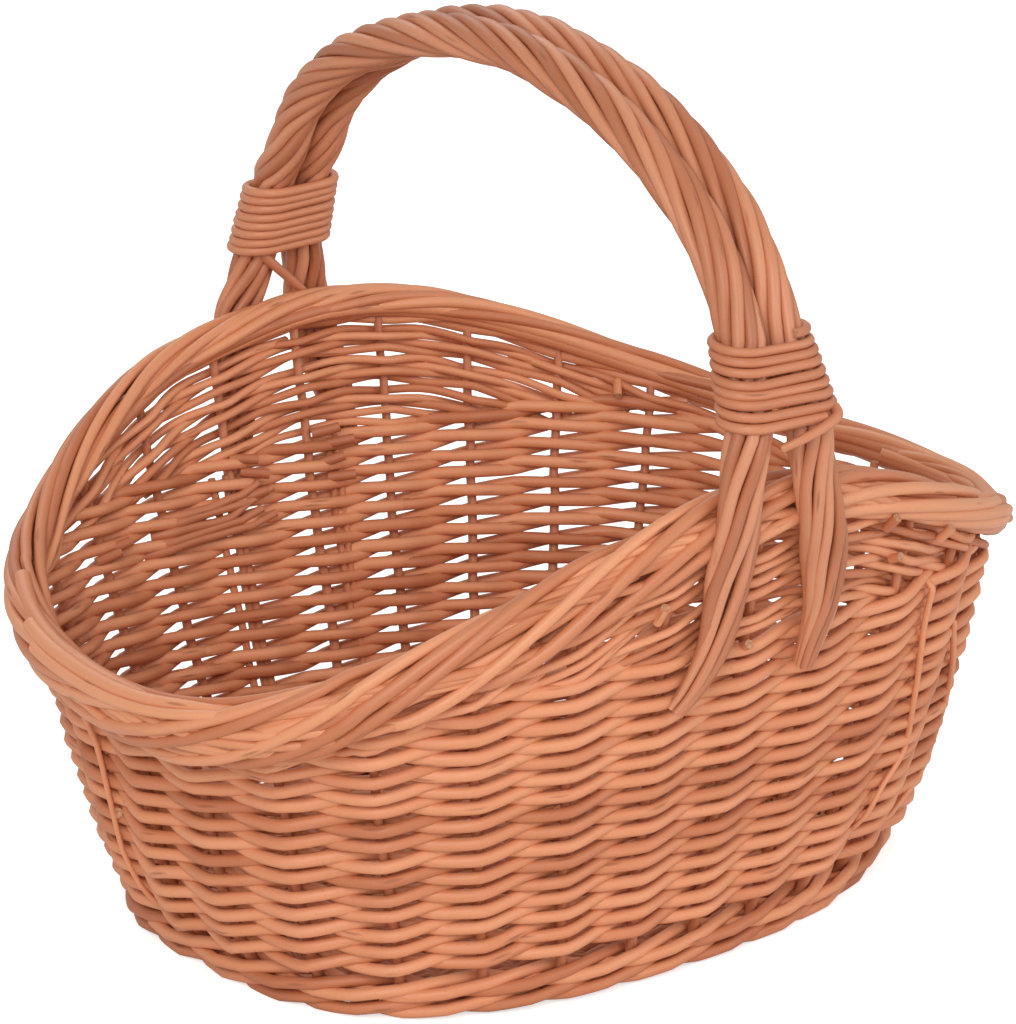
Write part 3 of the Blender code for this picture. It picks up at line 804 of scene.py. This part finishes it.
def make_base():
    ribs = []
    for number in range(2 * stake_count):
        share = np.full(rib_points, number / stake_count / 2)
        run = np.linspace(heart_share + rib_stagger * (number % 2), 1.0, rib_points)
        points = np.column_stack([base_spots(share, run)[1], np.full(rib_points, base_level)])
        ribs.append(Rod(points, rib_radius))
    lay_rods("base_ribs", ribs, 8, base_willow)
    rods = []
    round_share = (1 - heart_share) / base_rounds
    for order in range(2):
        for turn in range(base_rounds):
            places = np.arange(0, stake_count + 0.05, base_step)
            swing = sway(places * 2 + order + turn)
            reach = heart_share + round_share * (turn + 0.5) + 0 * places
            reach = reach + round_share / 4 * np.sin(full_turn * places + math.pi * (order + turn))
            spokes, flat = base_spots(places / stake_count, reach)
            radii = np.linalg.norm(spokes, axis=1) * round_share * 0.40
            heights = base_level + swing * (base_half_thickness - radii)
            rods.append(Rod(np.column_stack([flat, heights]), radii * (1 + wander(places, 0.05))))
    lay_rods("base_weave", rods, 8, base_willow, ["base_panel"])


# Handle

strand_radius, strand_count, core_radius = 0.00262, 8, 0.0040
strand_reach = rope_radius - strand_radius
leg_lay_length = 0.26
leg_half_width, leg_half_depth, leg_core_inset = 0.0088, 0.0031, 0.0022
leg_top, leg_top_reach = 0.2412, 0.1729
arch_gap = 0.0007
# shares of a leg, from the binding down, over which the strands part, and from which the tip tapers
part_from, part_over, taper_from = 0.02, 0.22, 0.5
# each leg from its tip up to the binding, by rope and by side
leg_routes = {
    (-1, -1): [(-0.0392, 0.1535, 0.1290), (-0.0325, 0.1562, 0.1375), (-0.0246, 0.1600, 0.1533),
               (-0.0209, 0.1644, 0.1769), (-0.0217, 0.1722, 0.2067), (-0.0196, 0.1735, 0.2295),
               (-0.0160, 0.1729, 0.2412)],
    (1, -1): [(0.0250, 0.1560, 0.1350), (0.0280, 0.1588, 0.1480), (0.0304, 0.1616, 0.1630),
              (0.0287, 0.1650, 0.1813), (0.0225, 0.1710, 0.1990), (0.0168, 0.1733, 0.2201),
              (0.0148, 0.1729, 0.2412)],
    (-1, 1): [(-0.0330, 0.1555, 0.1340), (-0.0315, 0.1590, 0.1480), (-0.0285, 0.1625, 0.1640),
              (-0.0255, 0.1670, 0.1840), (-0.0222, 0.1728, 0.2090), (-0.0167, 0.1735, 0.2260),
              (-0.0122, 0.1729, 0.2412)],
    (1, 1): [(0.0270, 0.1555, 0.1360), (0.0265, 0.1590, 0.1500), (0.0250, 0.1625, 0.1660),
             (0.0215, 0.1670, 0.1850), (0.0168, 0.1728, 0.2110), (0.0152, 0.1735, 0.2270),
             (0.0128, 0.1729, 0.2412)]}
handle_lifts = {-1: 0.0038, 1: -0.0034}
bound_leans = {-1: (0.1622, 0.40), 1: (0.1650, 0.33)}
# how far out and how high the arch runs on the near side, -1, and on the far side, 1
arch_routes = {
    -1: [(0.1456, 0.3019), (0.1331, 0.3168), (0.1164, 0.3307), (0.0961, 0.3429),
         (0.0730, 0.3529), (0.0482, 0.3604), (0.0235, 0.3651), (0, 0.3666)],
    1: [(0.1484, 0.2926), (0.1412, 0.3069), (0.1294, 0.3209), (0.1136, 0.3337),
        (0.0943, 0.3449), (0.0722, 0.3541), (0.0482, 0.3610), (0.0235, 0.3652), (0, 0.3666)]}
# half the distance between the ropes at the foot and the top of each binding
bound_offset_ends = {-1: (0.0148, rope_offset - 0.0008), 1: (0.0116, rope_offset - 0.0004)}


def bound_reach(height, side):
    """How far out the bound ropes stand: they lean in as they climb."""
    middle, lean = bound_leans[side]
    return middle - (height - binding_height) * lean


def bound_offsets(heights, side):
    """Half the distance between the two ropes inside a binding, wider at its foot."""
    climbed = np.clip((heights - binding_foot) / (binding_top - binding_foot), 0, 1)
    foot_offset, top_offset = bound_offset_ends[side]
    return foot_offset + (top_offset - foot_offset) * climbed


def handle_half(rope, side):
    """The points of a leg from its tip up, and those in the binding above it."""
    lift = handle_lifts[side]
    shift = bound_reach(leg_top, side) - leg_top_reach
    climb = np.linspace(0, 1, len(leg_routes[rope, side])) ** 2
    leg = smooth([(x, (y + shift * share) * side, z + lift * share)
                  for share, (x, y, z) in zip(climb, leg_routes[rope, side])], 5)
    climbs = np.linspace(binding_foot, binding_top, 7)[1:-1]
    bound = np.column_stack([rope * bound_offsets(climbs, side), side * bound_reach(climbs, side),
                             climbs + lift])
    return leg, bound


def handle_axis(rope):
    """The middle of a rope from the near leg's tip to the far one's, and how many points a leg has."""
    near_leg, near_bound = handle_half(rope, -1)
    far_leg, far_bound = handle_half(rope, 1)
    feet = [(bound_reach(binding_top, side), binding_top + handle_lifts[side]) for side in (-1, 1)]
    crown = smooth([(-reach, height) for reach, height in [feet[0]] + arch_routes[-1]]
                   + arch_routes[1][-2::-1] + [feet[1]], 6)
    apart = rope_offset + arch_gap * np.sin(np.linspace(0, math.pi, len(crown)))
    arch = np.column_stack([rope * apart, crown])
    return np.concatenate([near_leg, near_bound, arch, far_bound[::-1], far_leg[::-1]]), len(near_leg)


def make_rope(name, rope):
    axis, leg_count = handle_axis(rope)
    lengths = lengths_along(axis)
    near_leg, far_leg = lengths[leg_count - 1], lengths[-leg_count]
    along = unit(np.gradient(axis, axis=0))
    outward = unit(np.cross(np.tile([1.0, 0, 0], (len(axis), 1)), along))
    outward *= np.sign(np.sum(outward * (axis - [0, 0, 0.1]), axis=1))[:, None]
    sideways = unit(np.cross(outward, along))
    sideways *= np.sign(sideways[:, :1])
    in_leg = np.maximum(np.clip(1 - lengths / near_leg, 0, 1),
                        np.clip((lengths - far_leg) / (lengths[-1] - far_leg), 0, 1))
    parted = np.clip((in_leg - part_from) / part_over, 0, 1)
    parted = parted * parted * (3 - 2 * parted)
    tip = np.clip((in_leg - taper_from) / (1 - taper_from), 0, 1)
    swung = (lengths - near_leg) / (far_leg - near_leg)
    lay = rope_lay_length * (1.05 - 0.42 * np.clip(swung, 0, 1))
    in_arch = (lengths > near_leg) & (lengths < far_leg)
    turned = np.cumsum(np.where(in_arch, np.gradient(lengths) / lay, 0))
    turned = -full_turn * turned * round(turned[-1]) / turned[-1]
    rods = [Rod(axis - outward * (leg_core_inset * parted)[:, None],
                core_radius * (1 - 0.45 * parted) * (1 - 0.5 * tip))]
    # in a leg the strands open into a flat bundle that keeps a slow twist
    girth = 1.05 - 0.05 * np.clip(swung, 0, 1)
    leg_lengths = np.where(lengths < near_leg, lengths - near_leg, np.maximum(lengths - far_leg, 0))
    half_across = strand_reach * girth * (1 - parted) + leg_half_width * parted
    half_out = strand_reach * girth * (1 - parted) + leg_half_depth * parted
    for strand in range(strand_count):
        angle = (turned - full_turn * leg_lengths / leg_lay_length
                 + full_turn / strand_count * (strand + 0.5))
        across = np.cos(angle) * half_across + wander(lengths * 40, 0.0010) * parted
        out = np.sin(angle) * half_out + wander(lengths * 40, 0.0006) * parted
        across = across * (1 - 0.80 * tip ** 1.3) + wander(lengths * 25, 0.0006)
        out = out + wander(lengths * 25, 0.0005)
        radii = (strand_radius * girth * (1 + wander(lengths * 40, 0.06)) * (1 - 0.06 * parted)
                 * (1 - 0.42 * tip ** 1.5))
        rods.append(Rod(axis + sideways * across[:, None] + outward * out[:, None], radii))
    lay_rods(name + "_rods", rods, 12, handle_willow, [name])


# Bindings

def racetrack(turned, straights, radius):
    """Points on an outline of two straight runs and two half circles."""
    arc = math.pi * radius
    xs, ys = np.zeros(len(turned)), np.zeros(len(turned))
    for index, (turn, straight) in enumerate(zip(np.mod(turned, 1), straights)):
        at = turn * (4 * straight + 2 * arc)
        if at < 2 * straight:
            xs[index], ys[index] = straight - at, radius
        elif at < 2 * straight + arc:
            angle = math.pi / 2 + (at - 2 * straight) / radius
            xs[index], ys[index] = -straight + radius * math.cos(angle), radius * math.sin(angle)
        elif at < 4 * straight + arc:
            xs[index], ys[index] = -straight + at - 2 * straight - arc, -radius
        else:
            angle = -math.pi / 2 + (at - 4 * straight - arc) / radius
            xs[index], ys[index] = straight + radius * math.cos(angle), radius * math.sin(angle)
    return xs, ys


wrap_radius, wrap_steps = 0.00208, 48
wrap_slack = {-1: 0.0006, 1: 0.0002}
# the loose end at the foot of each binding
tail_radii = (0.0024, 0.0018)
binding_tails = {
    -1: [(0.0215, -0.1770, 0.2505), (0.0195, -0.1815, 0.2485), (0.0110, -0.1842, 0.2462),
         (-0.0005, -0.1840, 0.2430), (-0.0078, -0.1800, 0.2395)],
    1: [(-0.014, 0.163, 0.2408), (-0.008, 0.162, 0.2348), (0.002, 0.163, 0.2258),
        (0.010, 0.165, 0.2188), (0.015, 0.168, 0.2138)]}


def make_binding(name, side):
    turned = np.arange(0, binding_loops + 0.001, 1 / wrap_steps)
    reach = rope_radius + binding_radius + wrap_slack[side]
    heights = binding_height - binding_span / 2 + binding_pitch * turned
    xs, ys = racetrack(turned, bound_offsets(heights, side), reach)
    level = heights + handle_lifts[side] + wander(turned * 3, 0.0005)
    points = np.column_stack([xs, side * bound_reach(heights, side) + side * ys, level])
    radii = wrap_radius * (1.03 - 0.06 * turned / binding_loops) * (1 + wander(turned * 5, 0.03))
    rods = [Rod(points, radii)]
    tail = smooth(binding_tails[side], 6)
    rods.append(Rod(tail, np.linspace(*tail_radii, len(tail))))
    lay_rods(name + "_rod", rods, 10, binding_willow, [name])


# Loose ends, each by its share of the way round and its heights

peg_radius, outer_radius, bye_radius, bundle_radius = 0.0020, 0.0015, 0.0017, 0.0023
peg_outs, inner_peg_outs = (0.0084, 0.0036), (-0.003, -0.009)
outer_out, outer_dive = 0.0056, 0.0092
pegs = [
    (0.805, 0.1920, 0.1850), (0.838, 0.1765, 0.1700), (0.811, 0.1730, 0.1700), (0.746, 0.1530, 0.1490),
    (0.571, 0.1510, 0.1445), (0.709, 0.1790, 0.1700)]
inner_peg = (0.120, 0.1625, 0.1564)
outer_routes = [
    [(0.4808, 0.1250), (0.4808, 0.1184), (0.4775, 0.1017), (0.4776, 0.088), (0.4779, 0.0555),
     (0.4833, 0.0147)],
    [(0.8655, 0.1270), (0.8690, 0.1170), (0.889, 0.0846), (0.9015, 0.054), (0.877, 0.0398),
     (0.861, 0.0317)],
    [(0.839, 0.1520), (0.8395, 0.1450), (0.841, 0.1294), (0.8476, 0.097), (0.853, 0.0724),
     (0.8435, 0.0561), (0.8355, 0.0310)]]
bye_stakes = [(0.2945, 0.020, 0.150), (0.2885, 0.030, 0.150), (0.2370, 0.050, 0.158), (0.2405, 0.080, 0.150)]
bundle_count, bundle_height, bundle_rise = 5, 0.1270, 0.0033
stubs = [
    (0.279, 0.140), (0.277, 0.149), (0.281, 0.156), (0.238, 0.139), (0.242, 0.147), (0.237, 0.154),
    (0.243, 0.160), (0.352, 0.137), (0.359, 0.1345)]
stub_shares, stub_outs = np.array([0.006, 0.001, -0.003]), np.array([-0.0030, -0.0068, -0.0092])


def peg(place, outs):
    share, top, foot = place
    return Rod(on_wall(np.full(2, share), np.array([top, foot]), np.array(outs)), peg_radius)


def make_pegs():
    rods = [peg(place, peg_outs) for place in pegs] + [peg(inner_peg, inner_peg_outs)]
    lay_rods("peg_ends", rods, 10, border_willow)


def make_bye_stakes():
    """Thin rods worked in over the wall, and others that stand beside the far stakes."""
    rods = []
    for route in outer_routes:
        shares, heights = smooth(route, 8).T
        run = np.linspace(0, 1, len(shares))
        outs = outer_out - outer_dive * near_ends(run, 0.12) ** 2
        spots = on_wall(shares, heights, outs + wander(run * 6, 0.0004))
        rods.append(Rod(spots, outer_radius - 0.0004 * run, 0.2))
    for share, low, high in bye_stakes:
        heights = np.linspace(low, high, 30)
        spots = on_wall(share + wander(heights * 60, 0.0006), heights, wander(heights * 90, 0.0008))
        rods.append(Rod(spots, bye_radius, 0.8))
    lay_rods("bye_stakes", rods, 8, weaver_willow)


def make_inner_bundle():
    """A bundle of rod ends along the inside of the far wall, and cut stubs near it."""
    rods = []
    for number in range(bundle_count):
        shares = np.linspace(0.334 - 0.003 * number, 0.272 + 0.006 * (number % 3), 30)
        run = np.linspace(0, 1, 30)
        bend = 0.004 * np.clip(run - 0.8, 0, 1) / 0.2
        heights = bundle_height + bundle_rise * number + bend + wander(run * 3, 0.0010)
        outs = -0.0062 + 0.0072 * np.clip(1 - np.minimum(run, 1.4 - run) / 0.14, 0, 1) ** 1.5
        radii = bundle_radius - 0.0005 * run
        rods.append(Rod(on_wall(shares, heights, outs), radii, chance.uniform(0.4, 0.7)))
    for share, height in stubs:
        lean = chance.uniform(-0.0015, 0.0015)
        spots = on_wall(share + stub_shares, height + np.array([-1, 0, 1]) * lean, stub_outs)
        rods.append(Rod(spots, bundle_radius, 0.8))
    lay_rods("inner_bundle", rods, 8, stake_willow)


make_side_weave()
make_packing("packing_far_rods", "packing_rod_far", 0.25)
make_packing("packing_near_rods", "packing_rod_near", 0.75)
make_foot()
make_stakes()
make_border()
make_sticks()
make_base()
make_rope("handle_rope_left", -1)
make_rope("handle_rope_right", 1)
make_binding("binding_near", -1)
make_binding("binding_far", 1)
make_pegs()
make_bye_stakes()
make_inner_bundle()


# Camera, where the photograph was taken from

camera_bearing, camera_tilt, camera_distance = math.radians(37.489), math.radians(18.637), 2.6
focal_pixels, photo_height_pixels, sensor_millimetres = 6219, 1024, 36
aim_height, aim_right, aim_up = 0.16, -0.0037, 0.0035


def make_camera():
    bearing, tilt, distance = camera_bearing, camera_tilt, camera_distance
    right = Vector((math.cos(bearing), -math.sin(bearing), 0))
    ground = Vector((math.sin(bearing), math.cos(bearing), 0))
    forward = ground * math.cos(tilt) - Vector((0, 0, 1)) * math.sin(tilt)
    up = right.cross(forward)
    target = Vector((0, 0, aim_height)) + right * aim_right + up * aim_up
    bpy.ops.object.camera_add()
    camera = bpy.context.object
    turn = Matrix((right, up, -forward)).transposed()
    camera.matrix_world = Matrix.Translation(target - forward * distance) @ turn.to_4x4()
    camera.data.lens = focal_pixels / photo_height_pixels * sensor_millimetres
    camera.data.sensor_width = sensor_millimetres
    camera.data.clip_end = 60
    bpy.context.scene.camera = camera
    camera.select_set(False)


make_camera()


# Stage: pale floor and soft studio light

def make_floor():
    bpy.ops.mesh.primitive_circle_add(vertices=96, radius=14, fill_type="NGON", location=(0, 0, 0))
    floor = bpy.context.object
    floor.name = "floor"
    bpy.ops.object.transform_apply(location=True, rotation=True, scale=True)
    finish = Finish("pale_floor")
    finish.surface("Base Color", grey(0.86))
    finish.surface("Roughness", 0.9)
    seen = finish.node("ShaderNodeLightPath")
    glow = finish.node("ShaderNodeEmission", {}, {"Color": grey(1), "Strength": 0.62})
    plain = Value(finish, finish.shader.outputs[0])
    both = finish.node("ShaderNodeAddShader", {}, {0: plain, 1: glow})
    shown = finish.node("ShaderNodeMixShader", {}, {0: seen, 1: plain, 2: both})
    finish.set(finish.tree.nodes["Material Output"].inputs[0], shown)
    floor.data.materials.append(finish.material)
    floor.select_set(False)


def make_world():
    """Warm white light all round, and plain white where the camera looks past the floor."""
    world = bpy.data.worlds.new("studio")
    bpy.context.scene.world = world
    studio = Nodes(world)
    seen = studio.node("ShaderNodeLightPath")
    room = studio.node("ShaderNodeBackground", {}, {"Color": (1.0, 0.985, 0.965, 1), "Strength": 0.52})
    white = studio.node("ShaderNodeBackground", {}, {"Color": grey(1)})
    both = studio.node("ShaderNodeMixShader", {}, {0: seen, 1: room, 2: white})
    studio.set(studio.tree.nodes["World Output"].inputs[0], both)


def add_light(name, place, aim, size, power, colour=(1, 1, 1)):
    bpy.ops.object.light_add(type="AREA", location=place)
    light = bpy.context.object
    light.name = name
    light.rotation_euler = (Vector(aim) - Vector(place)).to_track_quat("-Z", "Y").to_euler()
    light.data.size = size
    light.data.energy = power
    light.data.color = colour
    light.select_set(False)


make_floor()
make_world()
add_light("key_light", (-2.0, -1.8, 1.70), (0, 0, 0.15), 1.7, 48, (1, 0.985, 0.96))
add_light("fill_light", (1.5, -2.3, 1.1), (0, 0, 0.12), 1.8, 21)
add_light("back_light", (0.6, 2.2, 2.0), (0, 0, 0.2), 1.8, 15)

bpy.context.scene.view_settings.view_transform = "Standard"
